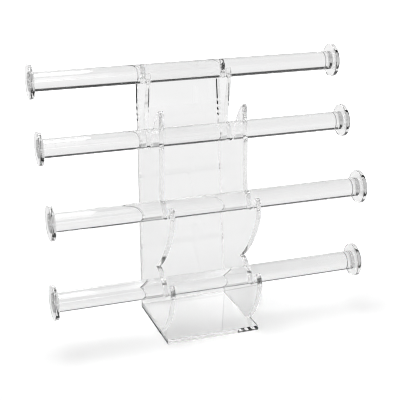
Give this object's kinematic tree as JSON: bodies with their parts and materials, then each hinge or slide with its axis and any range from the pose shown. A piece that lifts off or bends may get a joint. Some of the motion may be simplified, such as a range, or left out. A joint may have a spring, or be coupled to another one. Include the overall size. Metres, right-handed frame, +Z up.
{
  "type": "jewelry stand",
  "caption": "Clear acrylic jewelry stand: a base, a leaning back panel and two hooked side plates carry loose round rods with end discs, which lift out of their seats.",
  "frame": {"origin": "middle of the underside of the base plate, on the surface it stands on", "axes": "+Z up, the front faces -Y, +X to the right seen from the front and along the rods"},
  "size_m": [0.3428, 0.1251, 0.2827],
  "materials": {
    "base_sheet": "clear polished acrylic sheet",
    "panel_sheet": "clear polished acrylic sheet",
    "side_sheet": "clear polished acrylic sheet, polished cut edges",
    "bar": "clear polished acrylic rod",
    "disc": "clear polished acrylic disc"
  },
  "bodies": {
    "stand": {"base_plate": "base_sheet", "back_panel": "panel_sheet", "side_plate_left": "side_sheet", "side_plate_right": "side_sheet"},
    "rod_1": {"rod_1_bar": "bar", "rod_1_disc_left": "disc", "rod_1_disc_right": "disc"},
    "rod_2": {"rod_2_bar": "bar", "rod_2_disc_left": "disc", "rod_2_disc_right": "disc"},
    "rod_3": {"rod_3_bar": "bar", "rod_3_disc_left": "disc", "rod_3_disc_right": "disc"},
    "rod_4": {"rod_4_bar": "bar", "rod_4_disc_left": "disc", "rod_4_disc_right": "disc"}
  },
  "joints": [
    {"name": "rod_1_lift_out", "type": "slide", "parent": "stand", "child": "rod_1", "axis": [0, 0, 1], "range_m": [0, 0.09]},
    {"name": "rod_2_lift_out", "type": "slide", "parent": "stand", "child": "rod_2", "axis": [0, -0.342, 0.9397], "range_m": [0, 0.09]},
    {"name": "rod_3_lift_out", "type": "slide", "parent": "stand", "child": "rod_3", "axis": [0, -0.2588, 0.9659], "range_m": [0, 0.09]},
    {"name": "rod_4_lift_out", "type": "slide", "parent": "stand", "child": "rod_4", "axis": [0, -0.4384, 0.8988], "range_m": [0, 0.09]}
  ]
}
